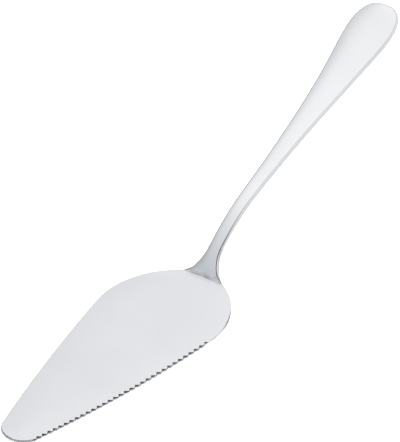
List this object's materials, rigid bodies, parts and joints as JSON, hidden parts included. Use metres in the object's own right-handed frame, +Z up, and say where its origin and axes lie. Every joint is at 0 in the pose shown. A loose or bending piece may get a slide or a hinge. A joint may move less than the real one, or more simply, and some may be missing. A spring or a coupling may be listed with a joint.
{
  "type": "cake server",
  "caption": "Steel cake server: a thin flat leaf-shaped blade with one serrated edge, on a narrow upturned neck that flares into a flat rounded handle.",
  "frame": {"origin": "centre of the bounding box in X and Y, at the plane of the blade's flat underside", "axes": "+X from the blade's tip towards the handle's end, +Y towards the plain edge, +Z up from the table"},
  "size_m": [0.2654, 0.0536, 0.0596],
  "materials": {
    "blade_steel": "bright satin-polished stainless steel",
    "handle_steel": "mirror-polished stainless steel"
  },
  "bodies": {
    "root": {"blade": "blade_steel", "handle": "handle_steel"}
  },
  "joints": []
}
